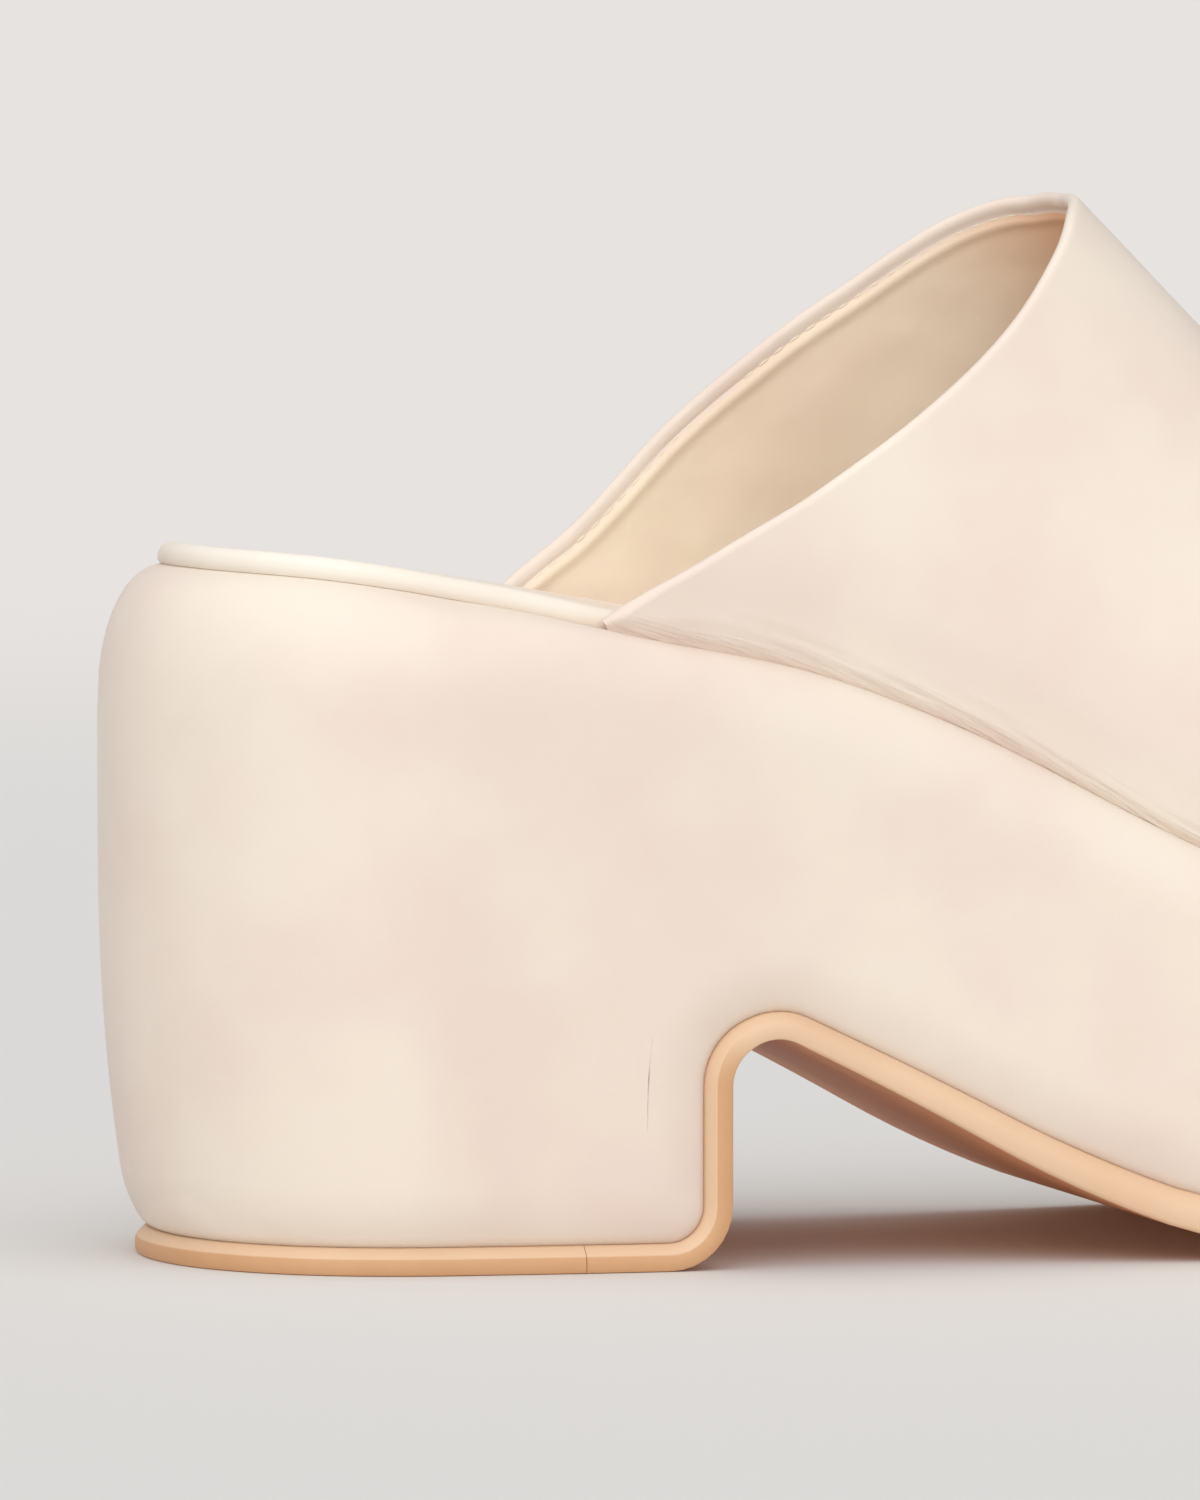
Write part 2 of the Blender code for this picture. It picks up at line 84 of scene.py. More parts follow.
def skin(name, points, faces, finishes, face_finish=None, values=None):
    """A smooth mesh from points and faces, with doubles merged and its faces turned outwards."""
    mesh = bpy.data.meshes.new(name)
    mesh.from_pydata(points, [], faces)
    for made in finishes:
        mesh.materials.append(made)
    if face_finish:
        mesh.polygons.foreach_set("material_index", face_finish)
    for label, numbers in (values or {}).items():
        mesh.attributes.new(label, "FLOAT", "POINT").data.foreach_set("value", numbers)
    bm = bmesh.new()
    bm.from_mesh(mesh)
    bmesh.ops.remove_doubles(bm, verts=bm.verts, dist=0.002 * MM)
    bmesh.ops.recalc_face_normals(bm, faces=bm.faces)
    bm.to_mesh(mesh)
    bm.free()
    mesh.shade_smooth()
    mesh.set_sharp_from_angle(angle=math.radians(50))
    piece = bpy.data.objects.new(name, mesh)
    bpy.context.scene.collection.objects.link(piece)
    print(name, len(mesh.vertices), "points,", len(mesh.polygons), "faces")
    return piece


def grid_faces(rows, columns, closed=False):
    """Faces of a grid whose points are listed row after row."""
    last = columns if closed else columns - 1
    return [
        (r * columns + c, r * columns + (c + 1) % columns,
         (r + 1) * columns + (c + 1) % columns, (r + 1) * columns + c)
        for r in range(rows - 1)
        for c in range(last)
    ]


# %% [markdown]
# ## The camera
# The photograph is taken from the outer side, a little behind the middle of the shoe and a little above it,
# and it shows the heel and the throat but not the toe. The place of the camera follows from that: far edges
# of the sole and of the collar show over the near ones by a known amount. A long lens keeps the heel upright.

# %% Camera
LENGTH = 260 * MM
CAMERA_TURN = math.radians(14.5)
CAMERA_RISE = math.radians(3.05)
CAMERA_DISTANCE = 1.35
AIM = Vector((64.2 * MM - LENGTH / 2, 1.2 * MM, 62.8 * MM))
PHOTO_HEIGHT = 1500
PIXELS_PER_METRE = 7900

sight = Vector((
    math.sin(CAMERA_TURN) * math.cos(CAMERA_RISE),
    math.cos(CAMERA_TURN) * math.cos(CAMERA_RISE),
    -math.sin(CAMERA_RISE),
))
lens = bpy.data.cameras.new("camera")
lens.sensor_width = 36
lens.lens = PIXELS_PER_METRE * CAMERA_DISTANCE / PHOTO_HEIGHT * lens.sensor_width
camera = bpy.data.objects.new("camera", lens)
camera.location = AIM - sight * CAMERA_DISTANCE
camera.rotation_euler = sight.to_track_quat("-Z", "Y").to_euler()
bpy.context.scene.collection.objects.link(camera)
bpy.context.scene.camera = camera
print("focal length", round(lens.lens), "mm")

# %% [markdown]
# ## Floor
# The shoe stands on a roll of pale warm grey paper that runs up behind it, so floor and background are one.
# A bent sheet would do, but its bend shows as a soft gradient that the photograph doesn't have. Here the
# floor is flat, takes shadows near the shoe, and fades into the plain colour of the background further off.

# %% Floor and background
BACKDROP = "#e7e3e0"
FLOOR_SIZE = 60.0
SHADOW_REACH = 0.7
FADE_END = 2.2

floor_paper, tree, shader = finish("seamless_paper")
shader.inputs["Base Color"].default_value = paint("#e6e3e0")
shader.inputs["Roughness"].default_value = 0.9
shader.inputs["Specular IOR Level"].default_value = 0.1
place = add(tree, "ShaderNodeTexCoord").outputs["Object"]
away = add(tree, "ShaderNodeVectorMath", {0: place}, operation="LENGTH").outputs["Value"]
fade = add(
    tree, "ShaderNodeMapRange", {"Value": away, "From Min": SHADOW_REACH, "From Max": FADE_END},
    interpolation_type="SMOOTHSTEP",
)
plain = add(tree, "ShaderNodeEmission", {"Color": paint(BACKDROP), "Strength": 1.0})
both = add(tree, "ShaderNodeMixShader", {0: fade.outputs[0], 1: shader.outputs[0], 2: plain.outputs[0]})
tree.links.new(both.outputs[0], tree.nodes["Material Output"].inputs["Surface"])
half = FLOOR_SIZE / 2
floor_corners = [(-half, -half, 0), (half, -half, 0), (half, half, 0), (-half, half, 0)]
floor = skin("studio_floor", floor_corners, [(0, 1, 2, 3)], [floor_paper])

sky = bpy.data.worlds.new("studio_sky")
sky.use_nodes = True
bpy.context.scene.world = sky
backdrop = sky.node_tree.nodes["Background"]
backdrop.inputs["Color"].default_value = paint(BACKDROP)
fill = add(sky.node_tree, "ShaderNodeBackground", {"Color": (0.97, 0.985, 1.0, 1.0), "Strength": 0.55})
seen = add(sky.node_tree, "ShaderNodeLightPath").outputs["Is Camera Ray"]
both = add(sky.node_tree, "ShaderNodeMixShader", {0: seen, 1: fill.outputs[0], 2: backdrop.outputs[0]})
sky.node_tree.links.new(both.outputs[0], sky.node_tree.nodes["World Output"].inputs["Surface"])
bpy.context.scene.view_settings.view_transform = "Standard"

# %% [markdown]
# ## Light
# The leather is brightest where it faces the camera and falls off to both ends, so the main light is a broad
# softbox beside the camera. It throws no shadow that the photograph shows on the floor, as such pictures
# have theirs cleaned. The shoe alone receives it, then, and a softer light from above gives the floor its
# shadows. A third lamp stands for what the white studio floor throws back up under the sole.

# %% Softboxes
shoe_lit = bpy.data.collections.new("lit_by_the_front_softbox")


def soft_sun(name, towards, strength, spread, receivers=None, blockers=None):
    """A sun that shines along a direction, as wide as a softbox."""
    lamp = bpy.data.lights.new(name, "SUN")
    lamp.energy = strength
    lamp.angle = math.radians(spread)
    made = bpy.data.objects.new(name, lamp)
    made.rotation_euler = Vector(towards).to_track_quat("-Z", "Y").to_euler()
    made.light_linking.receiver_collection = receivers
    made.light_linking.blocker_collection = blockers
    bpy.context.scene.collection.objects.link(made)


soft_sun("front_softbox", (0.22, 0.93, -0.36), 1.5, 60, receivers=shoe_lit)
soft_sun("top_softbox", (0.25, 0.30, -1.0), 1.25, 80)
soft_sun("floor_bounce", (0.35, 0.45, 0.80), 0.7, 90, receivers=shoe_lit, blockers=shoe_lit)

# %% [markdown]
# ## The shoe's measurements
# The skins follow the same sections as the solids, only more finely. One row of the table holds what a
# last maker would measure at one place along the shoe, as shares of its main sizes.

# %% Measurements and sections
BALL_WIDTH = 96 * MM
HEEL_HEIGHT = 86.9 * MM
BALL_HEIGHT = 36 * MM
INSTEP_HEIGHT = 77.5 * MM
TOE_SPRING = 8 * MM
HEEL_ROUND = 38 * MM
TOE_ROUND = 72 * MM
ROUND_POWER = 2.1
BREAST_X = 72.1 * MM
HEEL_CORNER = 8 * MM
CORNER_LEAST = 2.6 * MM
ARCH_PEAK = 32.1 * MM
ARCH_RADIUS = 5.5 * MM
SLOPE_BULGE = 1.1 * MM
SLOPE_START = 2.0 * MM
BALL_X = 129.9 * MM
BALL_RADIUS = 112 * MM
TOE_ROLL_X = 213 * MM
TOE_ROLL_RADIUS = 110 * MM
EDGE_TUCK = 2.0 * MM
EDGE_REACH = 8 * MM
EDGE_POWER = 2.2
BACK_TAPER = 4.7 * MM
SIDE_TAPER = 2.6 * MM
TAPER_HEIGHT = 52 * MM
SHOULDER_HEEL = 9 * MM
SHOULDER_HEEL_DEPTH = 18 * MM
SHOULDER_FRONT_DEPTH = 10 * MM
SHOULDER_POWER = 2.2
OUTSOLE_THICKNESS = 3.4 * MM
FOREFOOT_EXTRA = 1.3 * MM
OUTSOLE_LEDGE = 1.3 * MM
SEAM_X = 53.4 * MM
WALL = 1.8 * MM
UPPER_INSET = 5.3 * MM
UPPER_BULGE = 1.6 * MM
BULGE_HEIGHT = 12 * MM
BULGE_FADE = 45 * MM
TOE_BOX_ROUND = 34 * MM
TOE_BOX_POWER = 2.4
INSOLE_THICKNESS = 2.4 * MM
INSOLE_EDGE = 1.7 * MM
INSOLE_DISH = 0.8 * MM
GAP = 0.3 * MM
INSOLE_INSET = UPPER_INSET + WALL + 0.5 * MM
OUTER, INNER = -1, 1

SECTION_COLUMNS = (
    "along", "outer", "inner", "swing", "rise", "instep", "ridge_in", "outer_full", "inner_full", "footbed",
)
SECTIONS = (
    (0.00, 0.372, 0.362, 0.000, 1.000, 1.95, 0.020, 2.20, 2.30, -0.35),
    (0.08, 0.376, 0.366, 0.000, 0.973, 1.85, 0.024, 2.20, 2.30, -0.35),
    (0.16, 0.378, 0.364, 0.000, 0.916, 1.72, 0.030, 2.20, 2.30, 0.10),
    (0.24, 0.376, 0.356, 0.000, 0.829, 1.56, 0.036, 2.20, 2.30, 0.55),
    (0.32, 0.376, 0.346, 0.000, 0.743, 1.36, 0.042, 2.15, 2.30, 0.60),
    (0.40, 0.390, 0.342, 0.000, 0.584, 1.175, 0.046, 2.10, 2.30, 0.45),
    (0.50, 0.428, 0.360, 0.000, 0.319, 0.999, 0.050, 2.05, 2.30, 0.25),
    (0.60, 0.478, 0.405, 0.003, 0.103, 0.810, 0.052, 2.10, 2.35, 0.10),
    (0.70, 0.512, 0.460, 0.006, 0.010, 0.640, 0.050, 2.20, 2.40, 0.00),
    (0.80, 0.507, 0.493, 0.014, 0.000, 0.520, 0.042, 2.35, 2.45, 0.00),
    (0.90, 0.472, 0.490, 0.032, 0.000, 0.430, 0.046, 2.45, 2.50, 0.00),
    (1.00, 0.450, 0.470, 0.055, 0.000, 0.370, 0.055, 2.50, 2.50, 0.00),
)
COLLAR_COLUMNS = ("turn", "outer_x", "inner_x")
COLLAR = (
    (0.00, 0.216, 0.216),
    (0.05, 0.269, 0.261),
    (0.12, 0.321, 0.299),
    (0.24, 0.375, 0.351),
    (0.40, 0.421, 0.402),
    (0.60, 0.456, 0.445),
    (0.80, 0.477, 0.475),
    (0.90, 0.484, 0.483),
    (1.00, 0.487, 0.487),
)


def smooth(table, columns, column, share):
    """A column of a table at any share of its first column, through the rows without a kink."""
    at = columns.index(column)
    keys = [row[0] for row in table]
    values = [row[at] for row in table]
    share = min(max(share, keys[0]), keys[-1])
    i = min(max(k for k in range(len(keys)) if keys[k] <= share), len(keys) - 2)

    def slope(k):
        low, high = max(k - 1, 0), min(k + 1, len(keys) - 1)
        return (values[high] - values[low]) / (keys[high] - keys[low])

    width = keys[i + 1] - keys[i]
    t = (share - keys[i]) / width
    return (
        values[i] * (1 + 2 * t) * (1 - t) ** 2
        + values[i + 1] * t * t * (3 - 2 * t)
        + slope(i) * width * t * (1 - t) ** 2
        - slope(i + 1) * width * t * t * (1 - t)
    )


def section(column, x):
    return smooth(SECTIONS, SECTION_COLUMNS, column, x / LENGTH)


def end_round(distance, reach, power):
    """0 at an end of the outline, growing to 1 at reach from it, as a round end does."""
    if distance >= reach:
        return 1.0
    return (1 - (1 - max(distance, 0.0) / reach) ** power) ** (1 / power)


def step(value, low, high):
    """0 below low, 1 above high, and smooth between."""
    t = min(max((value - low) / (high - low), 0.0), 1.0)
    return t * t * (3 - 2 * t)


# %% [markdown]
# Seen from above, the outline is a width on each side of a middle line that swings inwards at the toe, and
# both ends are rounded off. Every other edge of the shoe stands in from that outline by some distance.

# %% Outline from above


def outline(side, x):
    """y of the platform's widest outline, on one side."""
    width = section("outer" if side == OUTER else "inner", x) * BALL_WIDTH
    ends = end_round(x, HEEL_ROUND, ROUND_POWER) * end_round(LENGTH - x, TOE_ROUND, ROUND_POWER)
    return section("swing", x) * BALL_WIDTH + side * width * ends


def outward(side, x):
    """The outline's outward direction in plan, as (x, y)."""
    if x <= 0:
        return -1.0, 0.0
    if x >= LENGTH:
        return 1.0, 0.0
    turn = math.acos(1 - 2 * x / LENGTH)
    low, high = [LENGTH * (1 - math.cos(turn + d)) / 2 for d in (-0.004, 0.004)]
    dx, dy = high - low, outline(side, high) - outline(side, low)
    length = math.hypot(dx, dy)
    return -side * dy / length, side * dx / length


def plan(side, x, inset):
    """A point of the outline, moved in from it by inset."""
    nx, ny = outward(side, x)
    return x - nx * inset, outline(side, x) - ny * inset


sweep = [outline(side, LENGTH * k / 2000) for k in range(2001) for side in (OUTER, INNER)]
MIDDLE = (min(sweep) + max(sweep)) / 2
print("footprint's middle is", round(MIDDLE / MM, 2), "mm from the heel's")


def placed(x, y, z):
    """A point measured from the back of the heel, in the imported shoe's own frame."""
    return x - LENGTH / 2, y - MIDDLE, z


# %% [markdown]
# Seen from the side, the sole is flat under the heel, goes up the heel's front face, turns in a tight curve
# at the arch and slopes down to the ball of the foot. The line can be offset into the shoe, which gives the
# edges of the rubber and of the leather above it.

# %% Side line of the sole


def fillet(before, corner, after, radius, steps):
    """Points of the arc that rounds a corner of a line."""
    a = (Vector(before) - Vector(corner)).normalized()
    b = (Vector(after) - Vector(corner)).normalized()
    half_angle = a.angle(b) / 2
    reach = min(
        radius / math.tan(half_angle),
        0.92 * (Vector(before) - Vector(corner)).length,
        0.92 * (Vector(after) - Vector(corner)).length,
    )
    centre = Vector(corner) + (a + b).normalized() * reach / math.cos(half_angle)
    start, end = Vector(corner) + a * reach - centre, Vector(corner) + b * reach - centre
    angle = math.atan2(start.x * end.y - start.y * end.x, start.dot(end))
    arc = []
    for k in range(steps + 1):
        t = angle * k / steps
        arc.append((
            centre.x + start.x * math.cos(t) - start.y * math.sin(t),
            centre.y + start.x * math.sin(t) + start.y * math.cos(t),
        ))
    return arc


def between(start, end, pieces):
    """Points from start to end in equal pieces, without the end."""
    return [
        (start[0] + (end[0] - start[0]) * k / pieces, start[1] + (end[1] - start[1]) * k / pieces)
        for k in range(pieces)
    ]


TOE_ROLL = fillet((BALL_X, 0.0), (TOE_ROLL_X, 0.0), (LENGTH, TOE_SPRING), TOE_ROLL_RADIUS, 12)


def toe_lift(x):
    """Height of the tread over the floor: none behind the toe roll."""
    line = [(0.0, 0.0), *TOE_ROLL, (LENGTH, TOE_SPRING)]
    for (x0, z0), (x1, z1) in zip(line, line[1:]):
        if x <= x1:
            return z0 + (z1 - z0) * (x - x0) / (x1 - x0)
    return TOE_SPRING


def top_height(x):
    """The platform's top, along the shoe."""
    return BALL_HEIGHT + (HEEL_HEIGHT - BALL_HEIGHT) * section("rise", x) + toe_lift(x)


HEEL_STEPS, TOE_STEPS = 26, 34
SEAM_GAP = 0.08 * MM


def filled(x, z, lift):
    """A side point with the slope's bulge, and with the thicker rubber under the forefoot."""
    along_slope = (x - BREAST_X - SLOPE_START) / (BALL_X - BREAST_X - 2 * SLOPE_START)
    bulge = SLOPE_BULGE * math.sin(math.pi * min(max(along_slope, 0.0), 1.0))
    extra = FOREFOOT_EXTRA * step(along_slope, 0.0, 1.0) * min(lift / OUTSOLE_THICKNESS, 1.0)
    return x, z + bulge + extra


def side_points(lift):
    """The side line's points from the heel to the toe, offset into the shoe by lift."""
    slope = ARCH_PEAK / (BALL_X - BREAST_X)
    up = lift * math.hypot(1.0, slope)
    foot = (BREAST_X - lift, lift)
    peak = (BREAST_X - lift, ARCH_PEAK + slope * lift + up)
    ball = (BREAST_X + (ARCH_PEAK + up - lift) / slope, lift)
    corner = fillet((0.0, lift), foot, peak, max(HEEL_CORNER - lift, CORNER_LEAST), 8)
    arch = fillet(foot, peak, ball, ARCH_RADIUS + lift, 16)
    tread = fillet(peak, ball, (TOE_ROLL_X, lift), BALL_RADIUS - lift, 14)
    heel_end, toe_start = HEEL_ROUND, LENGTH - TOE_ROUND
    points = [(heel_end * (1 - math.cos(math.pi / 2 * k / HEEL_STEPS)), lift) for k in range(HEEL_STEPS)]
    points += between((heel_end, lift), (SEAM_X - SEAM_GAP, lift), 8)
    points += [(SEAM_X - SEAM_GAP, lift), (SEAM_X, lift)]
    points += between((SEAM_X + 2 * SEAM_GAP, lift), corner[0], 4)
    points += corner[:-1] + between(corner[-1], arch[0], 8)
    points += arch[:-1] + between(arch[-1], tread[0], 10) + tread[:-1]
    points += between(tread[-1], (toe_start, lift), 10)
    for k in range(TOE_STEPS + 1):
        x = LENGTH - TOE_ROUND * (1 - math.cos(math.pi / 2 * (TOE_STEPS - k) / TOE_STEPS))
        points.append((x, lift + toe_lift(x)))
    return [filled(x, z, lift) for x, z in points]


def index_of(points, x, z):
    return min(range(len(points)), key=lambda i: math.hypot(points[i][0] - x, points[i][1] - z))


SIDE = side_points(0.0)
SEAM = SIDE.index((SEAM_X, 0.0))
print(len(SIDE), "sections along the sole, the seam at", SEAM)

# %% [markdown]
# ## Rubber
# The sole is a sheet of natural tan rubber, cemented on. Its colour is painted by place: a narrow bevel next to
# the leather is pale and matt, which is painted light where it faces up to the lamps; the side below keeps a
# darker, warmer face; inside the arch the whole edge is painted pale, as painted light. Underneath, the moulded
# face is brown, painted brighter than the side as painted light thrown back up from the floor. One material holds
# all of this, and two numbers stored on the skin tell it where it is: `band` across the edge, `arch` along it.

# %% Tan rubber


def rubber_finish():
    made, tree, shader = finish("tan_natural_rubber_with_painted_light")
    place = add(tree, "ShaderNodeTexCoord").outputs["Object"]
    band = add(tree, "ShaderNodeAttribute", attribute_name="band").outputs["Fac"]
    arch = add(tree, "ShaderNodeAttribute", attribute_name="arch").outputs["Fac"]
    cloud = add(tree, "ShaderNodeTexNoise", {"Vector": place, "Scale": 60.0, "Detail": 5.0})
    grit = add(tree, "ShaderNodeTexNoise", {"Vector": place, "Scale": 1600.0, "Detail": 3.0})
    side = add(
        tree, "ShaderNodeMix",
        {"Factor": cloud.outputs["Fac"], 6: paint("#bf8a5e"), 7: paint("#d3a87e")}, data_type="RGBA",
    )
    painted_lit_tan = add(
        tree, "ShaderNodeMix",
        {"Factor": cloud.outputs["Fac"], 6: paint("#d3ac88"), 7: paint("#e2c3a3")}, data_type="RGBA",
    )
    # band is 0 underneath, 1 on the side and 2 on the bevel, whose pale tan is painted light
    painted_lit_bevel = add(tree, "ShaderNodeMapRange", {"Value": band, "From Min": 1.45, "From Max": 1.62})
    # inside the arch the whole edge takes the pale tan too: painted light
    most = add(tree, "ShaderNodeMath", {0: painted_lit_bevel.outputs[0], 1: arch}, operation="MAXIMUM")
    edge = add(
        tree, "ShaderNodeMix",
        {"Factor": most.outputs[0], 6: side.outputs[2], 7: painted_lit_tan.outputs[2]}, data_type="RGBA",
    )
    # underneath, a brown brighter than the side's: partly the rubber's own colour, partly painted light thrown up
    # from the floor
    wall = add(tree, "ShaderNodeMapRange", {"Value": band, "From Min": 0.35, "From Max": 0.6})
    colour = add(
        tree, "ShaderNodeMix",
        {"Factor": wall.outputs[0], 6: paint("#d8966c"), 7: edge.outputs[2]}, data_type="RGBA",
    )
    rough = add(
        tree, "ShaderNodeMapRange", {"Value": cloud.outputs["Fac"], "To Min": 0.48, "To Max": 0.68},
    )
    bump = add(
        tree, "ShaderNodeBump", {"Height": grit.outputs["Fac"], "Strength": 0.25, "Distance": 0.08 * MM},
    )
    tree.links.new(colour.outputs[2], shader.inputs["Base Color"])
    tree.links.new(rough.outputs[0], shader.inputs["Roughness"])
    tree.links.new(bump.outputs[0], shader.inputs["Normal"])
    shader.inputs["IOR"].default_value = 1.52
    return made


tan_rubber = rubber_finish()

# %% [markdown]
# The skins of the two rubber pieces follow the side line at a few lifts, from the tread up to the leather.
# Each row of the profile says how high it lies in the sheet, how far it stands out, and its `band`.

# %% Outsole and heel top piece


def heel_taper(side, x, z):
    """How far the heel block stands in from the outline, towards the floor."""
    facing_back = max(0.0, -outward(side, x)[0]) ** 2
    taper = SIDE_TAPER + (BACK_TAPER - SIDE_TAPER) * facing_back
    heel = 1 - step(x, 0.5 * SEAM_X, 0.9 * BREAST_X)
    return taper * heel * max(0.0, 1 - z / TAPER_HEIGHT) ** EDGE_POWER


RUBBER_PROFILE = (
    (0.00 * MM, 0.90 * MM, 0.0),
    (0.00 * MM, 0.45 * MM, 0.3),
    (0.12 * MM, 0.12 * MM, 0.8),
    (0.45 * MM, 0.00 * MM, 1.0),
    (1.20 * MM, -0.04 * MM, 1.1),
    (1.85 * MM, 0.02 * MM, 1.3),
    (2.15 * MM, 0.16 * MM, 1.6),
    (2.45 * MM, 0.42 * MM, 1.9),
    (2.85 * MM, 0.82 * MM, 2.0),
    (3.20 * MM, 1.16 * MM, 2.0),
    (3.38 * MM, 1.45 * MM, 2.0),
    (3.40 * MM, 2.00 * MM, 2.0),
)


def rubber_skin(name, first, last):
    """One piece of the sole between two sections of the side line."""
    wrapped = side_points(OUTSOLE_THICKNESS + GAP)
    lines = [side_points(lift) for lift, _, _ in RUBBER_PROFILE]
    arch_from = index_of(SIDE, BREAST_X, 24 * MM)
    points, bands, arches = [], [], []
    for i in range(first, last + 1):
        in_arch = step(i, arch_from - 2, arch_from + 7)
        loop = []
        for side in (OUTER, INNER):
            edge = EDGE_TUCK + heel_taper(side, *wrapped[i]) - OUTSOLE_LEDGE
            half_loop = [
                (placed(*plan(side, line[i][0], edge + inset), line[i][1]), band)
                for line, (_, inset, band) in zip(lines, RUBBER_PROFILE)
            ]
            loop += half_loop if side == OUTER else half_loop[::-1]
        points += [point for point, _ in loop]
        bands += [band for _, band in loop]
        arches += [in_arch] * len(loop)
    rows, columns = last - first + 1, 2 * len(RUBBER_PROFILE)
    faces = grid_faces(rows, columns, closed=True)
    faces += [tuple(range(columns)), tuple(range((rows - 1) * columns, rows * columns))]
    piece = skin(name, points, faces, [tan_rubber], values={"band": bands, "arch": arches})
    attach(piece, "root")
    return piece


outsole = rubber_skin("rubber_outsole", SEAM, len(SIDE) - 1)
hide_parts("outsole")
heel_piece = rubber_skin("rubber_heel_top_piece", 0, SEAM - 1)
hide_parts("heel_top_piece")

# %% [markdown]
# ## Leather
# Upper and platform are covered with the same smooth cream calf leather: full grain, drum dyed, with a thin
# matt finish. Its pores are about a third of a millimetre wide and hardly show, the colour is a little
# cloudy, and the light on it is broad and soft. Where the skin is pulled over an edge it shows faint
# scuffs and folds, which a second, coarser bump gives.

# %% Cream leather
PORE_SIZE = 0.35 * MM
CLOUD_SIZE = 26 * MM
WRINKLE_LENGTH = 5 * MM
WRINKLE_WIDTH = 0.5 * MM
WRINKLE_REACH = 4.5 * MM


def leather_finish(name, light, dark, pore_depth, fold_depth, roughness, wrinkled=False, painted_bounce=None):
    """Smooth leather: cloudy colour, pores, soft folds, and if asked for, wrinkles over the crease and a painted
    bounce light towards the throat.
    """
    made, tree, shader = finish(name)
    place = add(tree, "ShaderNodeTexCoord").outputs["Object"]
    cloud = add(
        tree, "ShaderNodeTexNoise",
        {"Vector": place, "Scale": 1 / CLOUD_SIZE, "Detail": 3.0, "Roughness": 0.5},
    )
    pores = add(
        tree, "ShaderNodeTexVoronoi", {"Vector": place, "Scale": 1 / PORE_SIZE / 2.2, "Randomness": 1.0},
        feature="SMOOTH_F1",
    )
    folds = add(
        tree, "ShaderNodeTexNoise", {"Vector": place, "Scale": 180.0, "Detail": 4.0, "Distortion": 0.6},
    )
    patch = add(
        tree, "ShaderNodeMapRange", {"Value": cloud.outputs["Fac"], "From Min": 0.35, "From Max": 0.65},
    )
    colour = add(
        tree, "ShaderNodeMix",
        {"Factor": patch.outputs[0], 6: paint(dark), 7: paint(light)}, data_type="RGBA",
    ).outputs[2]
    # painted bounce light: the colour turns orange towards the throat, for the warm light thrown round inside the
    # shoe
    if painted_bounce:
        throat = add(tree, "ShaderNodeAttribute", attribute_name="throat").outputs["Fac"]
        colour = add(
            tree, "ShaderNodeMix", {"Factor": throat, 6: colour, 7: paint(painted_bounce)}, data_type="RGBA",
        ).outputs[2]
    rough = add(
        tree, "ShaderNodeMapRange",
        {"Value": folds.outputs["Fac"], "To Min": roughness - 0.05, "To Max": roughness + 0.07},
    )
    bump = add(
        tree, "ShaderNodeBump",
        {"Height": pores.outputs["Distance"], "Strength": 0.35, "Distance": pore_depth},
    )
    bump = add(
        tree, "ShaderNodeBump",
        {"Height": folds.outputs["Fac"], "Strength": 0.5, "Distance": fold_depth, "Normal": bump.outputs[0]},
    )
    if wrinkled:
        along = add(tree, "ShaderNodeAttribute", attribute_name="along").outputs["Fac"]
        height = add(tree, "ShaderNodeAttribute", attribute_name="height").outputs["Fac"]
        lean = add(tree, "ShaderNodeMath", {0: along, 1: 0.10, 2: height}, operation="MULTIPLY_ADD")
        u = add(tree, "ShaderNodeMath", {0: along, 1: WRINKLE_LENGTH}, operation="DIVIDE")
        v = add(tree, "ShaderNodeMath", {0: lean.outputs[0], 1: WRINKLE_WIDTH}, operation="DIVIDE")
        sheet = add(tree, "ShaderNodeCombineXYZ", {"X": u.outputs[0], "Y": v.outputs[0]})
        lines = add(
            tree, "ShaderNodeTexNoise",
            {"Vector": sheet.outputs[0], "Scale": 1.0, "Detail": 2.0, "Distortion": 0.4},
        )
        near = add(
            tree, "ShaderNodeMapRange", {"Value": height, "From Max": WRINKLE_REACH, "To Min": 1.0, "To Max": 0.0},
        )
        there = add(tree, "ShaderNodeMath", {0: near.outputs[0], 1: 2.0}, operation="POWER")
        depth = add(
            tree, "ShaderNodeMath", {0: lines.outputs["Fac"], 1: there.outputs[0]}, operation="MULTIPLY",
        )
        bump = add(
            tree, "ShaderNodeBump",
            {"Height": depth.outputs[0], "Strength": 1.0, "Distance": 0.35 * MM, "Normal": bump.outputs[0]},
        )
    tree.links.new(colour, shader.inputs["Base Color"])
    tree.links.new(rough.outputs[0], shader.inputs["Roughness"])
    tree.links.new(bump.outputs[0], shader.inputs["Normal"])
    shader.inputs["IOR"].default_value = 1.48
    return made


CREAM, CREAM_SHADE = "#e4d7c8", "#dfcdc0"
cream_leather = leather_finish("cream_calf_leather", CREAM, CREAM_SHADE, 0.05 * MM, 0.10 * MM, 0.46)
lasted_leather = leather_finish(
    "cream_calf_leather_pulled_over_the_last", CREAM, CREAM_SHADE, 0.05 * MM, 0.10 * MM, 0.46, wrinkled=True,
)
# the lining's orange towards the throat is painted bounce light
lining_leather = leather_finish(
    "cream_pigskin_lining_with_painted_bounce", "#ead9c0", "#e4ceb6", 0.05 * MM, 0.25 * MM, 0.55, painted_bounce="#e2b08c",
)
sock_leather = leather_finish("cream_sock_leather", "#eae1d4", "#e5d8c9", 0.04 * MM, 0.10 * MM, 0.50)

# %% [markdown]
# ## Wrapped platform
# Heel and platform are one moulded core with leather stretched round it. The top edge is soft and broad at
# the heel and tighter in front, and the lower edge tucks in above the rubber. Columns of points run from
# that lower edge to the top, and they fan out over the heel's breast where the lower edge turns.

# %% Wrapped platform


